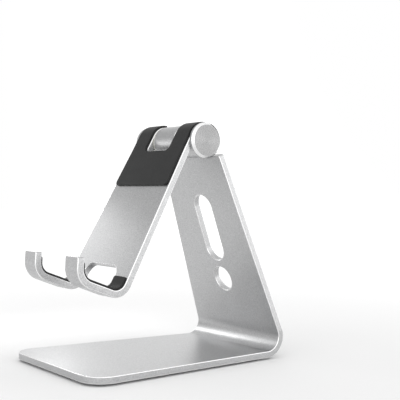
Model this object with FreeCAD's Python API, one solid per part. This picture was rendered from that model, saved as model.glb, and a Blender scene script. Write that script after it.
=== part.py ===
import FreeCAD, Part
import math
import os

# Adjustable phone stand: a bent aluminium base and leg, a hooked cradle that turns on a
# rolled barrel hinge at the leg's top, silicone pads where a phone rests, and feet.
# Millimetres. +Z is up, -Y is towards the person, and X runs along the hinge. The origin
# is on the desk, in the middle of the base plate's footprint.

V = FreeCAD.Vector

# ---- driving dimensions -------------------------------------------------------------
# base and leg, one bent plate
base_length = 105.0
base_front_width = 74.0
base_rear_width = 62.0
leg_top_width = 44.8
leg_plate = 3.0
leg_angle = 69.6
base_bend_inside = 6.4
base_corner_radius = 10.0
leg_corner_radius = 1.2
hinge_height = 99.9
shoulder_drop = 8.5

# cable slot and hole through the leg
cable_slot_width = 12.6
cable_slot_length = 33.3
cable_slot_drop = 19.2
cable_hole_diameter = 12.2
cable_web = 3.7

# hinge barrel, rolled from the ends of the two plates
barrel_diameter = 15.0
barrel_length = 41.8
centre_knuckle_length = 16.0

# cradle, one bent plate
cradle_plate = 3.0
cradle_tilt = 61.4
cradle_drop = 81.0
cradle_bottom_width = 47.6
shelf_slope = 8.0
shelf_length = 23.6
shelf_bend_inside = 4.6
lip_bend_inside = 5.6
lip_lean = 26.0
lip_length = 10.9
hook_gap = 26.6
hook_gap_rise = 14.0
hook_gap_radius = 5.0
hook_tip_radius = 1.0
notch_radius = 1.5

# bolt, nut and washers inside the barrel
bolt_diameter = 4.0
bolt_head_height = 2.2
bolt_head_rounding = 1.3
bolt_socket_flats = 2.5
bolt_socket_depth = 1.3
bolt_tail = 0.8
nut_hex_height = 3.6
nut_collar_height = 1.4
nut_collar_step = 0.1
nut_ring_share = 0.64
washer_thickness = 0.8
spring_thickness = 0.4
spring_rise = 0.25
spring_count = 2
sleeve_length = 3.0
flange_thickness = 0.8
flange_inset = 0.3

# end caps
cap_diameter = 16.2
cap_thickness = 2.25
cap_rim = 1.05
cap_spigot_length = 1.0

# silicone pads and feet
back_pad_thickness = 1.0
back_pad_drop = 27.5
back_pad_wrap = 72.0
hook_pad_thickness = 0.9
hook_pad_rise = 9.5
hook_pad_tip_gap = 2.2
pad_margin = 0.8
pad_corner_radius = 2.0
foot_thickness = 1.5
foot_recess = 0.5
foot_width = 8.0
foot_length = 22.0
foot_edge_gap = 6.0

# clearances, and how far a cutter reaches past the face that it cuts
turn_gap = 0.1
shaft_gap = 0.05
hole_gap = 0.15
curl_seam = 0.4
notch_gap = 1.2
neck_gap = 0.3
bush_gap = 0.2
spring_gap = 0.5
head_gap = 0.7
nut_gap = 0.46
cut_over = 1.0
foot_end_flat = 0.02
near = 0.01

# ---- worked out from them -----------------------------------------------------------
barrel_radius = barrel_diameter / 2
leg_bore_radius = barrel_radius - leg_plate
cradle_bore_radius = barrel_radius - cradle_plate
spring_radius = cradle_bore_radius - spring_gap
head_radius = cradle_bore_radius - head_gap
nut_corner_radius = cradle_bore_radius - nut_gap
nut_flats = nut_corner_radius * math.sqrt(3)
nut_collar_radius = nut_flats / 2 - nut_collar_step
nut_ring_radius = bolt_diameter / 2 + nut_ring_share * (nut_collar_radius - bolt_diameter / 2)
half_centre = centre_knuckle_length / 2
flange_face = half_centre + flange_thickness
knuckle_start = flange_face + turn_gap
barrel_end = barrel_length / 2
sleeve_end = knuckle_start + sleeve_length
washer_end = sleeve_end + washer_thickness
spring_height = spring_thickness + spring_rise
head_seat = washer_end + spring_count * spring_height
nut_end = washer_end + nut_hex_height + nut_collar_height
bolt_end = nut_end + bolt_tail
spigot_end = barrel_end - cap_spigot_length
cap_face = barrel_end + cap_thickness
notch_depth = barrel_radius + notch_gap
notch_half = knuckle_start
base_bottom = foot_thickness - foot_recess
base_bend_outside = base_bend_inside + leg_plate


# ---- side-view frames ---------------------------------------------------------------
# A frame is a place in the side view with two directions in it. Points are given as
# (along the first, along the second), and x across the object.
def unit(degrees):
    turn = math.radians(degrees)
    return (math.cos(turn), math.sin(turn))


def in_frame(frame, a, b, x=0.0):
    place, first, second = frame
    y = place[0] + a * first[0] + b * second[0]
    z = place[1] + a * first[1] + b * second[1]
    return V(x, y, z)


def frame_vector(frame, a, b):
    return in_frame(frame, a, b) - in_frame(frame, 0, 0)


side_view = ((0.0, 0.0), (1.0, 0.0), (0.0, 1.0))

# The leg rises from where its rear face meets the base's underside, and leans to -Y.
leg_up = unit(180 - leg_angle)
leg_rear = unit(90 - leg_angle)
half_turn_length = base_bend_outside * math.tan(math.radians((180 - leg_angle) / 2))
leg_foot = (base_length / 2 - base_bend_outside + half_turn_length, base_bottom)
leg_reach = (hinge_height - base_bottom + barrel_radius * leg_rear[1]) / leg_up[1]
hinge = (
    leg_foot[0] + leg_reach * leg_up[0] - barrel_radius * leg_rear[0],
    leg_foot[1] + leg_reach * leg_up[1] - barrel_radius * leg_rear[1],
)
leg_frame = (hinge, (-leg_up[0], -leg_up[1]), leg_rear)

# The cradle hangs down and forward from the hinge, with its face up and forward.
cradle_down = unit(180 + cradle_tilt)
cradle_face = unit(90 + cradle_tilt)
cradle_frame = (hinge, cradle_down, cradle_face)


# ---- shapes from side-view outlines -------------------------------------------------
def rounded_edges(frame, corners, radii, x):
    """Lines through the corners, with an arc of the given radius at each inner one."""
    edges = []
    start = in_frame(frame, *corners[0], x)
    for k in range(1, len(corners) - 1):
        corner = in_frame(frame, *corners[k], x)
        before = in_frame(frame, *corners[k - 1], x) - corner
        after = in_frame(frame, *corners[k + 1], x) - corner
        before.normalize()
        after.normalize()
        half = before.getAngle(after) / 2
        cut = radii[k - 1] / math.tan(half)
        inward = before + after
        inward.normalize()
        middle = corner + inward * (radii[k - 1] / math.sin(half) - radii[k - 1])
        arc_start = corner + before * cut
        arc_end = corner + after * cut
        edges.append(Part.LineSegment(start, arc_start).toShape())
        edges.append(Part.Arc(arc_start, middle, arc_end).toShape())
        start = arc_end
    end = in_frame(frame, *corners[-1], x)
    if (end - start).Length > 1e-6:
        edges.append(Part.LineSegment(start, end).toShape())
    return edges


def offset_corners(corners, distance):
    """The same run of corners, moved to its left by the distance, with mitred joins."""
    moved = []
    count = len(corners)
    for k in range(count):
        normals = []
        for j in (k - 1, k):
            if 0 <= j < count - 1:
                da = corners[j + 1][0] - corners[j][0]
                db = corners[j + 1][1] - corners[j][1]
                size = math.hypot(da, db)
                normals.append((-db / size, da / size))
        na = sum(n[0] for n in normals)
        nb = sum(n[1] for n in normals)
        scale = distance * len(normals) / (na * na + nb * nb)
        moved.append((corners[k][0] + na * scale, corners[k][1] + nb * scale))
    return moved


def bent_strip(frame, corners, radii, thickness, x_low, x_high):
    """A sheet of even thickness that follows the corners, on their left."""
    others = offset_corners(corners, thickness)
    near = rounded_edges(frame, corners, radii, x_low)
    far = rounded_edges(frame, others, [r - thickness for r in radii], x_low)
    ends = []
    for a, b in ((corners[0], others[0]), (corners[-1], others[-1])):
        ends.append(Part.LineSegment(in_frame(frame, *a, x_low), in_frame(frame, *b, x_low)).toShape())
    wire = Part.Wire(Part.__sortEdges__(near + far + ends))
    return Part.Face(wire).extrude(V(x_high - x_low, 0, 0))


def ring_point(frame, radius, turn, x):
    """A point round the hinge axis, turned from the plate's outward side over the top."""
    rad = math.radians(turn)
    return in_frame(frame, -radius * math.sin(rad), radius * math.cos(rad), x)


def ring_sector(frame, inner, outer, turn, x_low, x_high):
    """A part of a tube round the hinge axis, from the outward side over the top."""
    edges = []
    for radius in (inner, outer):
        ends = [ring_point(frame, radius, t, x_low) for t in (0, turn / 2, turn)]
        edges.append(Part.Arc(*ends).toShape())
    for t in (0, turn):
        ends = [ring_point(frame, radius, t, x_low) for radius in (inner, outer)]
        edges.append(Part.LineSegment(*ends).toShape())
    wire = Part.Wire(Part.__sortEdges__(edges))
    return Part.Face(wire).extrude(V(x_high - x_low, 0, 0))


def curl(frame, plate, x_low, x_high):
    """The rolled end of a plate, which stops just short of touching the plate again."""
    bore = barrel_radius - plate
    opening = math.degrees(math.acos((bore - curl_seam) / barrel_radius))
    return ring_sector(frame, bore, barrel_radius, 360 - opening, x_low, x_high)


def outline_prism(frame, outline, low, high):
    """A closed outline of (x, a) points in a plate's plane, pushed along its normal."""
    points = [in_frame(frame, a, low, x) for x, a in outline]
    face = Part.Face(Part.makePolygon(points + [points[0]]))
    return face.extrude(frame_vector(frame, 0, high - low))


def upright_edges(shape, direction, test):
    """Straight edges along a direction whose middle passes the test."""
    found = []
    for edge in shape.Edges:
        if edge.Curve.TypeId != "Part::GeomLine":
            continue
        along = edge.tangentAt(edge.FirstParameter)
        if abs(abs(along.dot(direction)) - 1) < 1e-6 and test(edge.CenterOfMass):
            found.append(edge)
    return found


def rounded_prism(frame, outline, low, high, radius, rounded=lambda point: True):
    prism = outline_prism(frame, outline, low, high)
    direction = frame_vector(frame, 0, 1)
    return prism.makeFillet(radius, upright_edges(prism, direction, rounded))


def turned(radius, x_low, x_high):
    return Part.makeCylinder(radius, x_high - x_low, V(x_low, hinge[0], hinge[1]), V(1, 0, 0))


def ring(inner, outer, x_low, x_high):
    return turned(outer, x_low, x_high).cut(turned(inner, x_low, x_high))


def hexagon(flats, x_low, x_high):
    corners = []
    for k in range(7):
        turn = math.radians(60 * k)
        radius = flats / math.sqrt(3)
        corners.append(V(x_low, hinge[0] + radius * math.cos(turn), hinge[1] + radius * math.sin(turn)))
    return Part.Face(Part.makePolygon(corners)).extrude(V(x_high - x_low, 0, 0))


def mirrored(shape):
    return shape.mirror(V(0, 0, 0), V(1, 0, 0))


# ---- base and leg -------------------------------------------------------------------
base_flat_end = base_length / 2 - base_bend_outside
leg_flat_start = leg_reach - half_turn_length


def base_half_width(y):
    share = max(0.0, (base_flat_end - y) / (base_flat_end + base_length / 2))
    return (base_rear_width + (base_front_width - base_rear_width) * share) / 2


def make_base_leg():
    # The base narrows towards the bend, which keeps one width.
    front = (-base_length / 2, base_bottom)
    bend_end = (
        leg_foot[0] + half_turn_length * leg_up[0],
        leg_foot[1] + half_turn_length * leg_up[1],
    )
    wide = base_front_width
    body = bent_strip(side_view, [front, leg_foot, bend_end], [base_bend_outside], leg_plate, -wide, wide)
    plan = [(y, base_half_width(y)) for y in (-base_length / 2, base_flat_end, base_length)]
    points = [V(half, y, 0) for y, half in plan] + [V(-half, y, 0) for y, half in reversed(plan)]
    base_plan = Part.Face(Part.makePolygon(points + [points[0]])).extrude(V(0, 0, hinge_height))
    corners = upright_edges(base_plan, V(0, 0, 1), lambda p: p.y < 0)
    body = body.common(base_plan.makeFillet(base_corner_radius, corners))

    # The leg narrows from the bend to its shoulders.
    top_half = leg_top_width / 2
    low_half = base_rear_width / 2
    outline = [(-top_half, shoulder_drop), (top_half, shoulder_drop)]
    outline += [(low_half, leg_flat_start), (-low_half, leg_flat_start)]
    shoulder = in_frame(leg_frame, shoulder_drop, 0)
    leg_down = frame_vector(leg_frame, 1, 0)
    leg = rounded_prism(leg_frame, outline, leg_bore_radius, barrel_radius, leg_corner_radius,
                        lambda p: abs((p - shoulder).dot(leg_down)) < near)

    # Its middle runs on and is rolled into the centre knuckle.
    tongue = [(-half_centre, 0), (half_centre, 0)]
    tongue += [(half_centre, shoulder_drop), (-half_centre, shoulder_drop)]
    knuckle = outline_prism(leg_frame, tongue, leg_bore_radius, barrel_radius)
    knuckle = knuckle.fuse(curl(leg_frame, leg_plate, -half_centre, half_centre))
    body = body.fuse([leg, knuckle]).removeSplitter()

    # Cable slot and cable hole.
    slot_radius = cable_slot_width / 2
    hole_radius = cable_hole_diameter / 2
    through = frame_vector(leg_frame, 0, 1)
    low = leg_bore_radius - cut_over
    tall = leg_plate + 2 * cut_over
    slot_top = shoulder_drop + cable_slot_drop
    ends = [slot_top + slot_radius, slot_top + cable_slot_length - slot_radius]
    hole = slot_top + cable_slot_length + cable_web + hole_radius
    for place, radius in ((ends[0], slot_radius), (ends[1], slot_radius), (hole, hole_radius)):
        body = body.cut(Part.makeCylinder(radius, tall, in_frame(leg_frame, place, low), through))
    sides = [(-slot_radius, ends[0]), (slot_radius, ends[0])]
    sides += [(slot_radius, ends[1]), (-slot_radius, ends[1])]
    body = body.cut(outline_prism(leg_frame, sides, low, low + tall))

    # Shallow seats for the feet.
    for foot in feet_outlines():
        body = body.cut(foot_block(foot, 0, base_bottom + foot_recess))
    return body.removeSplitter()


# ---- feet ---------------------------------------------------------------------------
def feet_outlines():
    """Name and middle of each foot."""
    front = -base_length / 2 + foot_edge_gap + foot_width / 2
    rear = base_length / 2 - base_bend_outside - foot_width / 2
    found = []
    for where, y in (("front", front), ("rear", rear)):
        x = base_half_width(y) - foot_edge_gap - foot_length / 2
        found.append((where + "_left", -x, y))
        found.append((where + "_right", x, y))
    return found


def foot_block(foot, low, high):
    name, x, y = foot
    corner = V(x - foot_length / 2, y - foot_width / 2, low)
    block = Part.makeBox(foot_length, foot_width, high - low, corner)
    ends = upright_edges(block, V(0, 0, 1), lambda p: True)
    return block.makeFillet((foot_width - foot_end_flat) / 2, ends)


# ---- cradle -------------------------------------------------------------------------
def cradle_corners():
    """The cradle's outer face in the side view, from the hinge to the hooks' tips."""
    bend = (cradle_drop, cradle_bore_radius)
    slope = math.radians(shelf_slope)
    lean = math.radians(lip_lean)
    turn = (bend[0] + shelf_length * math.sin(slope), bend[1] + shelf_length * math.cos(slope))
    tip = (turn[0] - lip_length * math.cos(lean), turn[1] + lip_length * math.sin(lean))
    return [(0.0, cradle_bore_radius), bend, turn, tip]


cradle_radii = [shelf_bend_inside + cradle_plate, lip_bend_inside + cradle_plate]


def cradle_outline(inset):
    """The cradle's flat outline as (x, a) points, drawn in by an inset."""
    top_half = barrel_end - inset
    bottom_half = cradle_bottom_width / 2 - inset
    neck = cap_diameter / 2 + neck_gap
    straight = cradle_drop - shelf_bend_inside - cradle_plate
    end = cradle_drop + shelf_length
    half_outline = [
        (top_half, -2 * barrel_radius),
        (top_half, neck),
        (bottom_half, straight),
        (bottom_half, end),
    ]
    return half_outline + [(-x, a) for x, a in reversed(half_outline)]


def knuckle_notch(margin, low, high):
    """The space round the centre knuckle, which the cradle and its pad leave open."""
    half = notch_half + margin
    deep = notch_depth + margin
    outline = [(-half, -3 * barrel_radius), (half, -3 * barrel_radius), (half, deep), (-half, deep)]
    points = [in_frame(cradle_frame, a, low, x) for x, a in outline]
    opening = Part.Face(Part.makePolygon(points + [points[0]]))
    prism = opening.extrude(frame_vector(cradle_frame, 0, high - low))
    bottom = in_frame(cradle_frame, deep, 0)
    down = frame_vector(cradle_frame, 1, 0)
    across_plate = frame_vector(cradle_frame, 0, 1)
    inner = upright_edges(prism, across_plate, lambda p: abs((p - bottom).dot(down)) < near)
    return prism.makeFillet(notch_radius + margin, inner)


def make_cradle():
    half = cradle_bottom_width
    body = bent_strip(cradle_frame, cradle_corners(), cradle_radii, cradle_plate, -half, half)
    body = body.fuse(curl(cradle_frame, cradle_plate, -half, half)).removeSplitter()
    far = cradle_drop
    body = body.common(outline_prism(cradle_frame, cradle_outline(0), -far, far))
    body = body.cut(knuckle_notch(0, -far, far))

    # A wide gap parts the two hooks and runs a little way up the plate.
    gap = hook_gap / 2
    top = cradle_drop - hook_gap_rise
    end = cradle_drop + 2 * shelf_length
    outline = [(-gap, top), (gap, top), (gap, end), (-gap, end)]
    limit = in_frame(cradle_frame, top + cut_over, 0)
    down = frame_vector(cradle_frame, 1, 0)
    body = body.cut(rounded_prism(cradle_frame, outline, -far, far, hook_gap_radius,
                                  lambda p: (p - limit).dot(down) < 0))

    # The hooks' tips have small rounded corners.
    lean = math.radians(lip_lean)
    through = frame_vector(cradle_frame, math.sin(lean), math.cos(lean))
    tip = in_frame(cradle_frame, *cradle_corners()[-1])
    corners = upright_edges(body, through, lambda p: (V(0, p.y, p.z) - tip).Length < cradle_plate)
    return body.makeFillet(hook_tip_radius, corners)


# ---- pads ---------------------------------------------------------------------------
def make_back_pad():
    face = barrel_radius
    wide = cradle_bottom_width
    outline = [(-wide, 0), (wide, 0), (wide, back_pad_drop), (-wide, back_pad_drop)]
    plate = outline_prism(cradle_frame, outline, face, face + back_pad_thickness)
    wrap = ring_sector(cradle_frame, face, face + back_pad_thickness, back_pad_wrap, -wide, wide)
    body = plate.fuse(wrap).removeSplitter()
    far = cradle_drop
    body = body.common(outline_prism(cradle_frame, cradle_outline(pad_margin), -far, far))
    body = body.cut(knuckle_notch(pad_margin, -far, far))
    foot = in_frame(cradle_frame, back_pad_drop, face)
    down = frame_vector(cradle_frame, 1, 0)
    across_pad = frame_vector(cradle_frame, 0, 1)
    corners = upright_edges(body, across_pad, lambda p: abs((p - foot).dot(down)) < near)
    return body.makeFillet(pad_corner_radius, corners)


def make_hook_pad():
    inner = offset_corners(cradle_corners(), cradle_plate)
    radii = [r - cradle_plate for r in cradle_radii]
    tip = inner[-1]
    last = inner[-2]
    size = math.hypot(tip[0] - last[0], tip[1] - last[1])
    share = (size - hook_pad_tip_gap) / size
    end = (last[0] + (tip[0] - last[0]) * share, last[1] + (tip[1] - last[1]) * share)
    corners = [(cradle_drop - hook_pad_rise, barrel_radius), inner[1], last, end]
    x_low = hook_gap / 2 + pad_margin
    x_high = cradle_bottom_width / 2 - pad_margin
    return bent_strip(cradle_frame, corners, radii, hook_pad_thickness, x_low, x_high)


# ---- hinge stack --------------------------------------------------------------------
def make_bush():
    """Flanged bearing bush, pressed into the centre knuckle."""
    body = turned(leg_bore_radius, bush_gap / 2, half_centre)
    body = body.fuse(turned(barrel_radius - flange_inset, half_centre, flange_face))
    return body.cut(turned(bolt_diameter / 2 + shaft_gap, 0, flange_face)).removeSplitter()


def make_spring_washers():
    """Conical spring washers, stacked mouth to mouth under the bolt's head."""
    inner = bolt_diameter / 2 + hole_gap
    rings = []
    for k in range(spring_count):
        start = washer_end + k * spring_height
        lift = (spring_rise, 0.0) if k % 2 == 0 else (0.0, spring_rise)
        section = [
            V(start + lift[0], hinge[0], hinge[1] + inner),
            V(start + lift[0] + spring_thickness, hinge[0], hinge[1] + inner),
            V(start + lift[1] + spring_thickness, hinge[0], hinge[1] + spring_radius),
            V(start + lift[1], hinge[0], hinge[1] + spring_radius),
        ]
        face = Part.Face(Part.makePolygon(section + [section[0]]))
        rings.append(face.revolve(V(0, hinge[0], hinge[1]), V(1, 0, 0), 360))
    return Part.makeCompound(rings)


def make_bolt():
    """Button-head bolt, with its head on the +X side."""
    body = turned(bolt_diameter / 2, -bolt_end, head_seat)
    head_end = head_seat + bolt_head_height
    head = turned(head_radius, head_seat, head_end)
    rim = [e for e in head.Edges if len(e.Vertexes) == 1 and abs(e.CenterOfMass.x - head_end) < near]
    body = body.fuse(head.makeFillet(bolt_head_rounding, rim))
    socket = hexagon(bolt_socket_flats, head_end - bolt_socket_depth, head_end + cut_over)
    return body.cut(socket).removeSplitter()


def make_nut():
    """Locking nut, with a collar that holds a nylon ring, on the -X side."""
    hex_end = washer_end + nut_hex_height
    body = hexagon(nut_flats, washer_end, hex_end)
    body = body.fuse(turned(nut_collar_radius, hex_end, nut_end))
    body = body.cut(turned(bolt_diameter / 2, washer_end, nut_end))
    return mirrored(body.cut(turned(nut_ring_radius, hex_end, nut_end)).removeSplitter())


def make_nut_ring():
    return mirrored(ring(bolt_diameter / 2, nut_ring_radius, washer_end + nut_hex_height, nut_end))


def make_end_cap():
    """Turned disc with a bevelled rim and a spigot pressed into the knuckle's bore."""
    disc = turned(cap_diameter / 2, barrel_end, cap_face)
    rim = [e for e in disc.Edges if len(e.Vertexes) == 1 and abs(e.CenterOfMass.x - cap_face) < near]
    body = disc.makeChamfer(cap_rim, rim)
    return body.fuse(turned(cradle_bore_radius, spigot_end, barrel_end)).removeSplitter()


def make_nodes():
    loose = bolt_diameter / 2 + hole_gap
    bush = make_bush()
    sleeve = ring(loose, cradle_bore_radius, knuckle_start, sleeve_end)
    washer = ring(loose, cradle_bore_radius - hole_gap, sleeve_end, washer_end)
    cap = make_end_cap()
    hook_pad = make_hook_pad()
    nodes = {
        "base_leg": make_base_leg(),
        "cradle": make_cradle(),
        "hinge_bolt": make_bolt(),
        "lock_nut": make_nut(),
        "lock_nut_ring": make_nut_ring(),
        "spring_washers": make_spring_washers(),
        "back_pad": make_back_pad(),
    }
    pairs = {
        "hinge_bush": bush,
        "clamp_sleeve": sleeve,
        "plain_washer": washer,
        "end_cap": cap,
        "hook_pad": hook_pad,
    }
    for name, shape in pairs.items():
        nodes[name + "_right"] = shape
        nodes[name + "_left"] = mirrored(shape)
    for foot in feet_outlines():
        nodes["foot_" + foot[0]] = foot_block(foot, 0.0, foot_thickness)
    return nodes


os.makedirs("parts", exist_ok=True)
for node, shape in make_nodes().items():
    if not shape.isValid():
        raise ValueError(node + " is not a valid shape")
    shape.exportStep("parts/" + node + ".step")
    box = shape.BoundBox
    across = f"x {box.XMin:6.1f} {box.XMax:6.1f}  y {box.YMin:6.1f} {box.YMax:6.1f}"
    upward = f"z {box.ZMin:6.1f} {box.ZMax:6.1f}"
    print(f"{node:18s} solids {len(shape.Solids)}  volume {shape.Volume:9.1f}  {across}  {upward}")
print(f"hinge axis at y {hinge[0]:.3f} z {hinge[1]:.3f}")
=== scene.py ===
import math

import bmesh
import bpy
from mathutils import Matrix, Vector


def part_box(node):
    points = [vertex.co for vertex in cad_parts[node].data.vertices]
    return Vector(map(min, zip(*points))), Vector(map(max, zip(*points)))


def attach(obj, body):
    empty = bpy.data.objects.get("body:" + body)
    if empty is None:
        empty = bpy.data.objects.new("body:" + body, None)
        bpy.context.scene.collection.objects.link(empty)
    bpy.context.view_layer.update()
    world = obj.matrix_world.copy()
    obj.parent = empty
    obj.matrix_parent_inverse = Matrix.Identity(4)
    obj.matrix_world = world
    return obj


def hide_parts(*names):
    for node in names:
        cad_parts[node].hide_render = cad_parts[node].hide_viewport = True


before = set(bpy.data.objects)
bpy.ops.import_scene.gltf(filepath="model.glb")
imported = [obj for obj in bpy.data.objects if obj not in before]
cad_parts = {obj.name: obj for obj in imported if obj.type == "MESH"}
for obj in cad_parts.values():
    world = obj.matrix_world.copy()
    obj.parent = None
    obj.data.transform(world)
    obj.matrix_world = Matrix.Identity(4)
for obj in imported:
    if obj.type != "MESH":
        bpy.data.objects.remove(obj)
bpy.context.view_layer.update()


# ==== Base and leg ====================================================================
# One blank of 3 mm aluminium plate: its edges are chamfered and polished, it is bent up
# behind the base, and its tongue is rolled into the hinge's centre knuckle. The rest of
# the skin is bead-blasted and clear anodised, which gives a fine even grain.
MM = 0.001
merge_gap = 0.002 * MM
cut_tolerance = 0.001 * MM
arc_segments_per_mm = 2.4
sheet_rim_angle = math.radians(40)

base_front_half = 37.0 * MM
base_rear_half = 31.0 * MM
leg_top_half = 22.4 * MM
plate = 3.0 * MM
base_underside = 1.0 * MM
base_bend_radius = 7.9 * MM
base_bend_turn = math.radians(110.4)
base_corner = 10.0 * MM
shoulder_drop = 8.5 * MM
shoulder_corner = 1.2 * MM
centre_knuckle_half = 8.0 * MM
slot_drop = 27.7 * MM
slot_length = 33.3 * MM
slot_half = 6.3 * MM
hole_drop = 64.7 * MM
hole_half = 6.1 * MM
chamfer = 0.34 * MM

knuckle_radius = 6.0 * MM
roll_turn = math.radians(303.14)

base_low, base_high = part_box("base_leg")
cap_low, cap_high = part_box("end_cap_right")
hinge_y = (cap_low.y + cap_high.y) / 2
hinge_z = (cap_low.z + cap_high.z) / 2


def bent_path(pieces):
    """Straight runs as (length, 0) and bends as (mid radius, turn), left turns positive."""
    return [(size if turn == 0 else size * abs(turn), turn) for size, turn in pieces]


def path_cuts(path, step=math.radians(5)):
    """Distances along a path where the sheet is cut across, so that its bends are round."""
    cuts = []
    start = 0.0
    for length, turn in path:
        if turn:
            count = math.ceil(abs(turn) / step)
            cuts += [start + length * k / count for k in range(count + 1)]
        start += length
    return cuts


def place_on_path(path, start, heading, along, left):
    """A point of the flat sheet, in the side view, after the path's bends."""
    y, z = start
    for number, (length, turn) in enumerate(path):
        last = number == len(path) - 1
        here = along if last else min(along, length)
        ahead = (math.cos(heading), math.sin(heading))
        side = (-ahead[1], ahead[0])
        if turn:
            radius = length / turn
            angle = here / radius
            y += radius * (side[0] + math.sin(angle) * ahead[0] - math.cos(angle) * side[0])
            z += radius * (side[1] + math.sin(angle) * ahead[1] - math.cos(angle) * side[1])
            heading += angle
        else:
            y += here * ahead[0]
            z += here * ahead[1]
        along -= here
        if along <= 0:
            break
    return y - left * math.sin(heading), z + left * math.cos(heading)


def cut_blank(corners, cuts, mirrored):
    """A flat sheet from corners given as (across, along, corner radius), cut across."""
    bm = bmesh.new()
    face_verts = [bm.verts.new((x, along, 0)) for x, along, radius in corners]
    bm.faces.new(face_verts)
    for vert, (x, along, radius) in zip(face_verts, corners):
        if radius == 0:
            continue
        arms = [edge.other_vert(vert).co - vert.co for edge in vert.link_edges]
        half = arms[0].angle(arms[1]) / 2
        bmesh.ops.bevel(
            bm, geom=[vert], offset=radius / math.tan(half), offset_type="OFFSET",
            segments=max(3, round(radius / MM * arc_segments_per_mm)), profile=0.5,
            affect="VERTICES", clamp_overlap=False, material=-1,
        )
    bmesh.ops.remove_doubles(bm, verts=bm.verts[:], dist=merge_gap)
    for along in cuts:
        bmesh.ops.bisect_plane(
            bm, geom=bm.verts[:] + bm.edges[:] + bm.faces[:], dist=cut_tolerance,
            plane_co=(0, along, 0), plane_no=(0, 1, 0),
        )
    if mirrored:
        bmesh.ops.mirror(
            bm, geom=bm.verts[:] + bm.edges[:] + bm.faces[:], axis="X", merge_dist=merge_gap
        )
    return bm


def thicken(bm, thickness, edge):
    """Gives the sheet its thickness, and rounds every rim, which is the second material."""
    bmesh.ops.recalc_face_normals(bm, faces=bm.faces[:])
    grown = bmesh.ops.extrude_face_region(bm, geom=bm.faces[:])
    upper = [item for item in grown["geom"] if isinstance(item, bmesh.types.BMVert)]
    bmesh.ops.translate(bm, verts=upper, vec=(0, 0, thickness))
    bmesh.ops.translate(bm, verts=bm.verts[:], vec=(0, 0, -thickness / 2))
    bmesh.ops.recalc_face_normals(bm, faces=bm.faces[:])
    sharp = [e for e in bm.edges if e.is_manifold and e.calc_face_angle() > sheet_rim_angle]
    rim = bmesh.ops.bevel(
        bm, geom=sharp, offset=edge, offset_type="OFFSET", segments=3, profile=0.5,
        affect="EDGES", clamp_overlap=False, loop_slide=False, material=-1,
    )
    for face in rim["faces"]:
        face.material_index = 1


def bend(bm, path, start, heading):
    """Bends a flat sheet along a path in the side view."""
    for vert in bm.verts:
        x, along, left = vert.co
        y, z = place_on_path(path, start, heading, along, left)
        vert.co = (x, y, z)


def finish_mesh(bm, name, materials, body, slot, *nodes):
    """Makes the piece's object, smooth, with flat faces kept flat by weighted normals."""
    bmesh.ops.recalc_face_normals(bm, faces=bm.faces[:])
    for face in bm.faces:
        face.smooth = True
    mesh = bpy.data.meshes.new(name)
    bm.to_mesh(mesh)
    bm.free()
    for material in materials:
        mesh.materials.append(material)
    piece = bpy.data.objects.new(name, mesh)
    bpy.context.scene.collection.objects.link(piece)
    weighted = piece.modifiers.new("flat_faces", "WEIGHTED_NORMAL")
    weighted.mode = "FACE_AREA"
    weighted.weight = 50
    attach(piece, body)
    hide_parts(*nodes)
    return piece


class Level:
    """A number that varies over a surface: a socket with the usual arithmetic."""

    def __init__(self, finish, socket):
        self.finish = finish
        self.socket = socket

    def _maths(self, operation, first, second):
        return self.finish.add("ShaderNodeMath", {"operation": operation}, {0: first, 1: second}, 0)

    def __add__(self, other):
        return self._maths("ADD", self, other)

    __radd__ = __add__

    def __sub__(self, other):
        return self._maths("SUBTRACT", self, other)

    def __rsub__(self, other):
        return self._maths("SUBTRACT", other, self)

    def __mul__(self, other):
        return self._maths("MULTIPLY", self, other)

    __rmul__ = __mul__


class Finish:
    """A material and the nodes of its look. Constants go on the shader's own sockets."""

    def __init__(self, name, **constants):
        self.material = bpy.data.materials.new(name)
        self.material.use_nodes = True
        self.tree = self.material.node_tree
        self.shader = self.tree.nodes["Principled BSDF"]
        for socket, value in constants.items():
            self.shader.inputs[socket.replace("_", " ")].default_value = value
        self.place = self.add("ShaderNodeTexCoord", {}, {}, "Object")

    def add(self, kind, settings, inputs, output=None):
        """Adds a node: its settings first, then its sockets' values or links."""
        node = self.tree.nodes.new(kind)
        for key, value in settings.items():
            setattr(node, key, value)
        for key, value in inputs.items():
            if isinstance(value, Level):
                self.tree.links.new(value.socket, node.inputs[key])
            else:
                node.inputs[key].default_value = value
        return Level(self, node.outputs[0 if output is None else output])

    def noise(self, size, detail=2.0, stretch=(1, 1, 1)):
        """Soft noise with marks of about the given size, in metres."""
        spread = self.add(
            "ShaderNodeMapping", {"vector_type": "POINT"}, {"Vector": self.place, "Scale": stretch}
        )
        return self.add(
            "ShaderNodeTexNoise", {"noise_dimensions": "3D"},
            {"Vector": spread, "Scale": 1 / size, "Detail": detail, "Roughness": 0.55}, 0,
        )

    def colour(self, share, low, high):
        """A colour between two, by a share that varies over the surface."""
        return self.add(
            "ShaderNodeMix", {"data_type": "RGBA", "clamp_factor": True},
            {0: share, 6: (*low, 1), 7: (*high, 1)}, 2,
        )

    def relief(self, height, depth, strength=1.0):
        """Raised and sunk marks, by a height that varies from 0 to 1 over a depth in metres."""
        return self.add(
            "ShaderNodeBump", {}, {"Height": height, "Distance": depth, "Strength": strength}
        )

    def wear(self, **links):
        """Links what varies to the shader, and gives the material."""
        for socket, value in links.items():
            self.tree.links.new(value.socket, self.shader.inputs[socket.replace("_", " ")])
        return self.material


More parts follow.
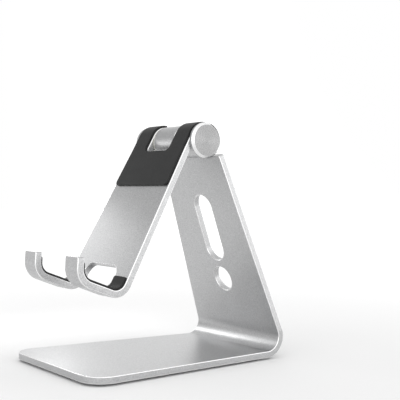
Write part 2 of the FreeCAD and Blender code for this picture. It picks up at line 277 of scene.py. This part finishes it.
def blasted_skin():
    """Bead-blasted and clear anodised aluminium: fine pits, and a faint sparkle."""
    skin = Finish("blasted_aluminium_skin", Metallic=1.0)
    grain = skin.noise(0.42 * MM, 2.0)
    pits = skin.noise(0.2 * MM, 2.0)
    clouds = skin.noise(14 * MM, 2.0)
    tone = 0.5 + (grain - 0.5) * 3.2 + (clouds - 0.5) * 0.3
    return skin.wear(
        Base_Color=skin.colour(tone, (0.41, 0.412, 0.417), (0.575, 0.577, 0.580)),
        Roughness=0.36 + (grain - 0.5) * 0.16 + (clouds - 0.5) * 0.05,
        Normal=skin.relief(0.6 * grain + 0.4 * pits, 0.012 * MM, 0.7),
    )


def polished_chamfer():
    """The cut chamfer along every edge: bright, with faint tool lines."""
    cut = Finish("polished_chamfer", Metallic=1.0)
    lines = cut.noise(0.5 * MM, 2.0, (1, 0.25, 0.25))
    return cut.wear(
        Base_Color=cut.colour(lines, (0.82, 0.82, 0.825), (0.93, 0.93, 0.93)),
        Roughness=0.17 + lines * 0.10,
        Normal=cut.relief(lines, 0.004 * MM, 0.5),
    )


blasted = blasted_skin()
polished = polished_chamfer()

base_flat = base_high.y - base_bend_radius - plate / 2 - base_low.y
leg_tilt = math.pi - base_bend_turn
bend_centre = (base_low.y + base_flat, base_underside + plate / 2 + base_bend_radius)
leg_start = (
    bend_centre[0] + base_bend_radius * math.cos(math.pi / 2 - leg_tilt),
    bend_centre[1] + base_bend_radius * math.sin(math.pi / 2 - leg_tilt),
)
leg_flat = (hinge_z + knuckle_radius * math.cos(leg_tilt) - leg_start[1]) / math.sin(leg_tilt)
leg_path = bent_path(
    [(base_flat, 0), (base_bend_radius, base_bend_turn), (leg_flat, 0), (knuckle_radius, roll_turn)]
)
bend_end = leg_path[0][0] + leg_path[1][0]
hinge_along = bend_end + leg_flat
tongue_end = hinge_along + leg_path[3][0]
slot_top = hinge_along - slot_drop
slot_foot = slot_top - slot_length
hole_top = hinge_along - hole_drop
hole_foot = hole_top - 2 * hole_half

leg_corners = [
    (0, 0, 0),
    (base_front_half, 0, base_corner),
    (base_rear_half, base_flat, 0),
    (base_rear_half, bend_end, 0),
    (leg_top_half, hinge_along - shoulder_drop, shoulder_corner),
    (centre_knuckle_half, hinge_along - shoulder_drop, 0),
    (centre_knuckle_half, tongue_end, 0),
    (0, tongue_end, 0),
    (0, slot_top, 0),
    (slot_half, slot_top, slot_half),
    (slot_half, slot_foot, slot_half),
    (0, slot_foot, 0),
    (0, hole_top, 0),
    (hole_half, hole_top, hole_half),
    (hole_half, hole_foot, hole_half),
    (0, hole_foot, 0),
]
leg_bm = cut_blank(leg_corners, path_cuts(leg_path), mirrored=True)
thicken(leg_bm, plate, chamfer)
bend(leg_bm, leg_path, (base_low.y, base_underside + plate / 2), 0.0)
finish_mesh(leg_bm, "base_and_leg", [blasted, polished], "base", "blasted_aluminium", "base_leg")


# ==== Feet ============================================================================
# Four moulded silicone feet, pressed into shallow seats under the base and glued. They
# lift the plate a millimetre off the desk, and their lower edges are softly rounded.
foot_edge = 0.28 * MM
foot_end_flat = 0.01 * MM


def black_silicone(name, shade, mark):
    """Moulded silicone: nearly black, matt, with a fine eggshell skin and a little dust."""
    rubber = Finish(name, Specular_IOR_Level=0.28, Sheen_Weight=0.04, Sheen_Roughness=0.5)
    skin = rubber.noise(mark, 3.0)
    dust = rubber.noise(6 * MM, 4.0)
    return rubber.wear(
        Base_Color=rubber.colour(
            (dust - 0.35) * 1.8, (shade, shade, shade * 1.04), (shade * 2.1, shade * 2.1, shade * 2.1)
        ),
        Roughness=0.56 + (skin - 0.5) * 0.2 + (dust - 0.5) * 0.12,
        Normal=rubber.relief(skin, 0.02 * MM, 0.6),
    )


foot_rubber = black_silicone("black_silicone_feet", 0.009, 0.4 * MM)

for end in ("front", "rear"):
    for side in ("left", "right"):
        node = "foot_" + end + "_" + side
        low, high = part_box(node)
        half_width = (high.y - low.y) / 2
        round_end = half_width - foot_end_flat
        corners = [
            (low.x, low.y, round_end),
            (high.x, low.y, round_end),
            (high.x, high.y, round_end),
            (low.x, high.y, round_end),
        ]
        foot_bm = cut_blank(corners, [], mirrored=False)
        thicken(foot_bm, base_underside, foot_edge)
        bmesh.ops.translate(foot_bm, verts=foot_bm.verts[:], vec=(0, 0, base_underside / 2))
        finish_mesh(
            foot_bm, "silicone_" + node, [foot_rubber, foot_rubber], "base", "black_silicone", node
        )


# ==== Hinge bushes ====================================================================
# Two flanged bushes of ivory bearing plastic, pressed into the centre knuckle from both
# ends. Their flanges are the friction faces that the outer knuckles are clamped against.
def bearing_plastic():
    moulded = Finish("ivory_bearing_plastic", Specular_IOR_Level=0.5, Subsurface_Weight=0.05)
    flow = moulded.noise(2.2 * MM, 3.0)
    skin = moulded.noise(0.25 * MM, 2.0)
    return moulded.wear(
        Base_Color=moulded.colour(flow, (0.66, 0.64, 0.57), (0.76, 0.74, 0.67)),
        Roughness=0.38 + skin * 0.14,
        Normal=moulded.relief(skin, 0.008 * MM, 0.5),
    )


def refinish(material, *nodes):
    """The CAD node's own shape is kept, and it takes this material."""
    for node in nodes:
        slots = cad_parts[node].data.materials
        for number in range(len(slots)):
            slots[number] = material


refinish(bearing_plastic(), "hinge_bush_right", "hinge_bush_left")


# ==== Cradle ==========================================================================
# One blank of the same plate and finish. Its top is notched round the centre knuckle and
# rolled into the two outer knuckles, and its foot is parted into two hooks, bent up at
# the front, whose gap leaves room for a charging plug.
cradle_tilt = math.radians(61.4)
cradle_top_half = 20.9 * MM
cradle_foot_half = 23.8 * MM
neck_drop = 8.4 * MM
taper_end_drop = 73.4 * MM
cradle_drop = 81.0 * MM
shelf_slope = math.radians(8)
lip_lean = math.radians(26)
shelf_length = 23.6 * MM
lip_length = 10.9 * MM
shelf_bend_radius = 6.1 * MM
lip_bend_radius = 7.1 * MM
hook_inner_half = 13.3 * MM
hook_gap_drop = 67.0 * MM
hook_gap_corner = 5.0 * MM
hook_tip_corner = 1.0 * MM
notch_half = 8.9 * MM
notch_drop = 8.7 * MM
notch_corner = 1.5 * MM

shelf_turn = math.pi / 2 - shelf_slope
lip_turn = math.pi / 2 + shelf_slope - lip_lean
shelf_cut = (shelf_bend_radius + plate / 2) * math.tan(shelf_turn / 2)
lip_cut = (lip_bend_radius + plate / 2) * math.tan(lip_turn / 2)
cradle_flat = cradle_drop - shelf_cut
shelf_flat = shelf_length - shelf_cut - lip_cut
lip_flat = lip_length - lip_cut

down = Vector((0, -math.cos(cradle_tilt), -math.sin(cradle_tilt)))
face = Vector((0, -math.sin(cradle_tilt), math.cos(cradle_tilt)))
hinge = Vector((0, hinge_y, hinge_z))
cradle_top = hinge + face * knuckle_radius
roll_length = knuckle_radius * roll_turn

# The path runs down from the hinge to the hooks' tips. Distances above the hinge are
# negative in the outline, and the roll is a path of its own that runs upward.
hook_path = bent_path(
    [
        (cradle_flat, 0),
        (shelf_bend_radius, -shelf_turn),
        (shelf_flat, 0),
        (lip_bend_radius, -lip_turn),
        (lip_flat, 0),
    ]
)
roll_path = bent_path([(knuckle_radius, -roll_turn)])
tip_along = sum(length for length, turn in hook_path)

cradle_corners = [
    (0, notch_drop, 0),
    (notch_half, notch_drop, notch_corner),
    (notch_half, -roll_length, 0),
    (cradle_top_half, -roll_length, 0),
    (cradle_top_half, neck_drop, 0),
    (cradle_foot_half, taper_end_drop, 0),
    (cradle_foot_half, tip_along, hook_tip_corner),
    (hook_inner_half, tip_along, hook_tip_corner),
    (hook_inner_half, hook_gap_drop, hook_gap_corner),
    (0, hook_gap_drop, 0),
]


def bend_both_ways(bm, roll, main, start, heading):
    """Bends a sheet that runs both ways from the hinge: rolled above it, bent below it."""
    for vert in bm.verts:
        x, along, left = vert.co
        if along >= 0:
            y, z = place_on_path(main, start, heading, along, left)
        else:
            y, z = place_on_path(roll, start, heading + math.pi, -along, -left)
        vert.co = (x, y, z)


down_heading = math.pi + cradle_tilt
roll_cuts = [-cut for cut in path_cuts(roll_path)]
cradle_bm = cut_blank(cradle_corners, roll_cuts + path_cuts(hook_path), mirrored=True)
thicken(cradle_bm, plate, chamfer)
bend_both_ways(cradle_bm, roll_path, hook_path, (cradle_top.y, cradle_top.z), down_heading)
finish_mesh(cradle_bm, "cradle_plate", [blasted, polished], "cradle_arm", "blasted_aluminium", "cradle")


# ==== Back pad ========================================================================
# A black silicone sheet, glued to the cradle's face, that keeps a phone's back off the
# metal. Its top wraps over the outer knuckles and is notched like the plate behind it.
pad_margin = 0.8 * MM
back_pad_thickness = 1.0 * MM
back_pad_drop = 27.5 * MM
back_pad_wrap = math.radians(72)
pad_corner = 2.0 * MM
pad_top_corner = 0.6 * MM
pad_edge = 0.3 * MM

pad_rubber = black_silicone("black_silicone_pads", 0.009, 0.5 * MM)

wrap_radius = knuckle_radius + plate / 2 + back_pad_thickness / 2
taper = (cradle_foot_half - cradle_top_half) / (taper_end_drop - neck_drop)
pad_foot_half = cradle_top_half + taper * (back_pad_drop - neck_drop) - pad_margin
wrap_path = bent_path([(wrap_radius, -back_pad_wrap)])
pad_path = bent_path([(back_pad_drop, 0)])
wrap_length = wrap_path[0][0]
pad_corners = [
    (0, notch_drop + pad_margin, 0),
    (notch_half + pad_margin, notch_drop + pad_margin, notch_corner + pad_margin),
    (notch_half + pad_margin, -wrap_length, pad_top_corner),
    (cradle_top_half - pad_margin, -wrap_length, pad_top_corner),
    (cradle_top_half - pad_margin, neck_drop, 0),
    (pad_foot_half, back_pad_drop, pad_corner),
    (0, back_pad_drop, 0),
]
wrap_cuts = [-cut for cut in path_cuts(wrap_path)]
pad_bm = cut_blank(pad_corners, wrap_cuts, mirrored=True)
thicken(pad_bm, back_pad_thickness, pad_edge)
pad_start = hinge + face * wrap_radius
bend_both_ways(pad_bm, wrap_path, pad_path, (pad_start.y, pad_start.z), down_heading)
finish_mesh(
    pad_bm, "back_pad_sheet", [pad_rubber, pad_rubber], "cradle_arm", "black_silicone", "back_pad"
)


# ==== Hook liners =====================================================================
# Two silicone strips, glued into the hooks, that follow the shelf and the lip. A phone's
# lower edge stands on them.
liner_thickness = 0.9 * MM
liner_rise = 9.5 * MM
liner_tip_gap = 2.2 * MM
liner_corner = 0.9 * MM
liner_edge = 0.28 * MM

liner_offset = (plate + liner_thickness) / 2
liner_start_drop = cradle_drop - liner_rise
liner_path = bent_path(
    [
        (cradle_flat - liner_start_drop, 0),
        (shelf_bend_radius - liner_offset, -shelf_turn),
        (shelf_flat, 0),
        (lip_bend_radius - liner_offset, -lip_turn),
        (lip_flat - liner_tip_gap, 0),
    ]
)
liner_end = sum(length for length, turn in liner_path)
liner_start = cradle_top + down * liner_start_drop + face * liner_offset
for side, sign in (("right", 1), ("left", -1)):
    inner = sign * (hook_inner_half + pad_margin)
    outer = sign * (cradle_foot_half - pad_margin)
    corners = [
        (inner, 0, liner_corner),
        (outer, 0, liner_corner),
        (outer, liner_end, liner_corner),
        (inner, liner_end, liner_corner),
    ]
    liner_bm = cut_blank(corners, path_cuts(liner_path), mirrored=False)
    thicken(liner_bm, liner_thickness, liner_edge)
    bend(liner_bm, liner_path, (liner_start.y, liner_start.z), down_heading)
    finish_mesh(
        liner_bm, "hook_liner_" + side, [pad_rubber, pad_rubber], "cradle_arm", "black_silicone",
        "hook_pad_" + side,
    )


# ==== Hinge bolt stack ================================================================
# An M4 button-head bolt through the barrel, with two conical spring washers under its
# head, a plain washer and a pressed-in sleeve each side, and a lock nut that keeps the
# friction set. All are bright zinc-plated steel, turned or stamped.
def plated_steel(name, tint, across):
    """Zinc plate: a cool pale metal, with fine lines from turning round the hinge axis."""
    metal = Finish(name, Metallic=1.0)
    lines = metal.noise(0.18 * MM, 2.0, (across, 1, 1))
    clouds = metal.noise(1.8 * MM, 3.0)
    dark = tuple(0.74 * channel for channel in tint)
    return metal.wear(
        Base_Color=metal.colour(0.5 * lines + 0.5 * clouds, dark, tint),
        Roughness=0.22 + lines * 0.12 + clouds * 0.08,
        Normal=metal.relief(lines, 0.006 * MM, 0.6),
    )


turned_steel = plated_steel("plated_steel_turned", (0.66, 0.67, 0.69), 6)
stamped_steel = plated_steel("plated_steel_stamped", (0.70, 0.69, 0.66), 1)
refinish(turned_steel, "hinge_bolt", "clamp_sleeve_right", "clamp_sleeve_left")
refinish(stamped_steel, "lock_nut", "plain_washer_right", "plain_washer_left")
refinish(plated_steel("spring_steel", (0.42, 0.41, 0.40), 4), "spring_washers")


# ==== Lock nut's ring =================================================================
# The nylon ring swaged into the nut's collar, which grips the bolt. It is the usual
# translucent blue-white.
def nylon():
    ring = Finish("pale_blue_nylon", Specular_IOR_Level=0.45, Subsurface_Weight=0.15)
    swirl = ring.noise(0.8 * MM, 3.0)
    return ring.wear(
        Base_Color=ring.colour(swirl, (0.42, 0.55, 0.72), (0.56, 0.68, 0.82)),
        Roughness=0.34 + swirl * 0.16,
        Normal=ring.relief(swirl, 0.01 * MM, 0.5),
    )


refinish(nylon(), "lock_nut_ring")


# ==== End caps ========================================================================
# Two turned aluminium discs that close the barrel, each pressed in by a short spigot.
# The face is faced off in one cut, which leaves fine rings that catch light as a fan,
# and the rim has a wide bright chamfer.
cap_radius = (cap_high.z - cap_low.z) / 2
cap_face_x = cap_high.x
cap_rim = 1.05 * MM
cap_disc = 2.25 * MM
spigot_radius = 4.5 * MM
cap_soften = 0.12 * MM
cap_steps = 96
cap_corner_angle = math.radians(30)
ring_pitch = 0.22 * MM
face_tolerance = 0.02 * MM


def turned_face():
    """Faced-off aluminium: rings round the hinge axis, cut at an even feed."""
    disc = Finish("turned_aluminium_face", Metallic=1.0)
    centred = disc.add(
        "ShaderNodeMapping", {"vector_type": "POINT"},
        {"Vector": disc.place, "Location": (0, -hinge_y, -hinge_z), "Scale": (0, 1, 1)},
    )
    reach = disc.add("ShaderNodeVectorMath", {"operation": "LENGTH"}, {0: centred}, "Value")
    turn = 2 * math.pi / ring_pitch
    fine = disc.add("ShaderNodeMath", {"operation": "SINE"}, {0: reach * turn}, 0)
    grain = disc.noise(0.4 * MM, 2.0)
    rings = 0.5 + 0.3 * fine + (grain - 0.5) * 1.2
    return disc.wear(
        Base_Color=disc.colour(rings, (0.22, 0.22, 0.223), (0.46, 0.46, 0.46)),
        Roughness=0.24 + grain * 0.08,
        Normal=disc.relief(rings, 0.045 * MM, 1.0),
    )


cap_face = turned_face()

for side, sign in (("right", 1), ("left", -1)):
    profile = [
        (cap_low.x, 0),
        (cap_low.x, spigot_radius),
        (cap_face_x - cap_disc, spigot_radius),
        (cap_face_x - cap_disc, cap_radius),
        (cap_face_x - cap_rim, cap_radius),
        (cap_face_x, cap_radius - cap_rim),
        (cap_face_x, 0),
    ]
    cap_bm = bmesh.new()
    line = [cap_bm.verts.new((sign * x, hinge_y, hinge_z + radius)) for x, radius in profile]
    for first, second in zip(line, line[1:]):
        cap_bm.edges.new((first, second))
    bmesh.ops.spin(
        cap_bm, geom=cap_bm.verts[:] + cap_bm.edges[:], cent=(0, hinge_y, hinge_z), axis=(1, 0, 0),
        angle=2 * math.pi, steps=cap_steps, use_merge=True, use_duplicate=False,
    )
    bmesh.ops.remove_doubles(cap_bm, verts=cap_bm.verts[:], dist=merge_gap)
    bmesh.ops.recalc_face_normals(cap_bm, faces=cap_bm.faces[:])
    turned = [e for e in cap_bm.edges if e.is_manifold and e.calc_face_angle() > cap_corner_angle]
    bmesh.ops.bevel(
        cap_bm, geom=turned, offset=cap_soften, offset_type="OFFSET", segments=2, profile=0.5,
        affect="EDGES", clamp_overlap=False, loop_slide=False, material=-1,
    )
    for ring in cap_bm.faces:
        middle = ring.calc_center_median()
        reach = math.hypot(middle.y - hinge_y, middle.z - hinge_z)
        on_face = abs(middle.x) > cap_face_x - face_tolerance
        ring.material_index = 0 if on_face and reach < cap_radius - cap_rim else 1
        if not on_face and abs(middle.x) > cap_face_x - cap_rim:
            ring.material_index = 2
    finish_mesh(
        cap_bm, "hinge_cap_" + side, [cap_face, blasted, polished], "cradle_arm",
        "turned_aluminium", "end_cap_" + side,
    )


# ==== Studio ==========================================================================
# A pale floor with a painted glow that brightens it into the background and leaves it
# darker near the stand as painted shade, a soft white surround with one dim side and one
# dark flag, and two small soft lights on the left. The camera is low, in front and to the right.
def studio_floor():
    """Matt white paper with a painted glow: its emission grows with distance from the stand, so the
    floor near the stand is darker, as painted shade.
    """
    paper = Finish("pale_floor_painted_glow", Specular_IOR_Level=0.0, Emission_Strength=1.0)
    fibre = paper.noise(1.2 * MM, 3.0)
    reach = paper.add("ShaderNodeVectorMath", {"operation": "LENGTH"}, {0: paper.place}, "Value")
    return paper.wear(
        Base_Color=paper.colour(fibre, (0.82, 0.82, 0.82), (0.84, 0.84, 0.84)),
        Roughness=0.75 + fibre * 0.1,
        # Painted glow: emission rises from nothing within 12 cm of the stand to 0.35 far out, which
        # paints the floor near the stand darker as painted shade.
        Emission_Color=paper.colour((reach - 0.12) * 1.6, (0, 0, 0), (0.35, 0.35, 0.35)),
    )


floor_reach = 4.0
floor_bm = bmesh.new()
bmesh.ops.create_circle(floor_bm, cap_ends=True, segments=96, radius=floor_reach)
floor_mesh = bpy.data.meshes.new("studio_floor")
floor_bm.to_mesh(floor_mesh)
floor_bm.free()
floor_mesh.materials.append(studio_floor())
floor = bpy.data.objects.new("studio_floor", floor_mesh)
bpy.context.scene.collection.objects.link(floor)

world = bpy.data.worlds.new("studio_surround")
bpy.context.scene.world = world
world.use_nodes = True


def sky(kind, operation, inputs, output=0):
    """Adds a node to the surround: its operation, then its sockets' values or links."""
    node = world.node_tree.nodes.new(kind)
    if operation:
        node.operation = operation
    for key, value in inputs.items():
        if isinstance(value, bpy.types.NodeSocket):
            world.node_tree.links.new(value, node.inputs[key])
        else:
            node.inputs[key].default_value = value
    return node.outputs[output]


def fade(value, low, high, low_shade, high_shade):
    """A soft change of shade while a value goes from low to high."""
    ends = {"From Min": low, "From Max": high, "To Min": low_shade, "To Max": high_shade}
    shade = sky("ShaderNodeMapRange", None, {"Value": value, **ends})
    shade.node.interpolation_type = "SMOOTHSTEP"
    return shade


direction = sky("ShaderNodeTexCoord", None, {}, "Generated")
dim_side = Vector((-0.906, -0.420, 0.0)).normalized()
flag_side = Vector((-0.38, 0.88, 0.28)).normalized()
toward_dim = sky("ShaderNodeVectorMath", "DOT_PRODUCT", {0: direction, 1: dim_side}, "Value")
toward_flag = sky("ShaderNodeVectorMath", "DOT_PRODUCT", {0: direction, 1: flag_side}, "Value")
height = sky("ShaderNodeSeparateXYZ", None, {0: direction}, "Z")
right = sky("ShaderNodeSeparateXYZ", None, {0: direction}, "X")
left_side = fade(toward_dim, 0.2, 1.0, 1.45, 0.70)
right_side = fade(right, 0.0, 0.9, 1.0, 1.25)
sides = sky("ShaderNodeMath", "MULTIPLY", {0: left_side, 1: right_side})
ceiling = fade(height, 0.1, 1.0, 1.0, 0.7)
flag = fade(toward_flag, 0.90, 0.97, 1.0, 0.05)
lit = sky("ShaderNodeMath", "MULTIPLY", {0: sides, 1: ceiling})
flagged = sky("ShaderNodeMath", "MULTIPLY", {0: lit, 1: flag})
seen = sky("ShaderNodeLightPath", None, {}, "Is Camera Ray")
shown = sky("ShaderNodeMath", "MAXIMUM", {0: flagged, 1: seen})
background = world.node_tree.nodes["Background"]
background.inputs["Color"].default_value = (1.0, 1.0, 1.0, 1.0)
world.node_tree.links.new(shown, background.inputs["Strength"])


def soft_light(name, place, target, power, size):
    """A square soft light that faces its target and isn't seen itself."""
    lamp = bpy.data.lights.new(name, "AREA")
    lamp.shape = "SQUARE"
    lamp.size = size
    lamp.energy = power
    light = bpy.data.objects.new(name, lamp)
    light.visible_camera = False
    aim = Vector(target) - Vector(place)
    light.rotation_euler = aim.to_track_quat("-Z", "Y").to_euler()
    light.location = place
    bpy.context.scene.collection.objects.link(light)


soft_light("left_light", (-0.125, 0.012, 0.090), (0, 0.045, 0.01), 0.022, 0.035)
soft_light("floor_light", (-0.14, -0.06, 0.10), (-0.09, 0.0, 0.0), 0.016, 0.06)

camera_place = Vector((0.3126, -0.2126, 0.0741))
camera_azimuth = math.radians(51.65)
camera_pitch = math.radians(-0.02)
camera_roll = math.radians(0.855)

lens = bpy.data.cameras.new("front_right_view")
lens.sensor_width = 36.0
lens.lens = 74.12
lens.shift_x = -0.0362
lens.shift_y = -0.0032
lens.clip_start = 0.01
camera = bpy.data.objects.new("front_right_view", lens)
camera.matrix_world = (
    Matrix.Translation(camera_place)
    @ Matrix.Rotation(camera_azimuth, 4, "Z")
    @ Matrix.Rotation(math.pi / 2 + camera_pitch, 4, "X")
    @ Matrix.Rotation(camera_roll, 4, "Z")
)
bpy.context.scene.collection.objects.link(camera)
bpy.context.scene.camera = camera
bpy.context.scene.view_settings.view_transform = "Standard"
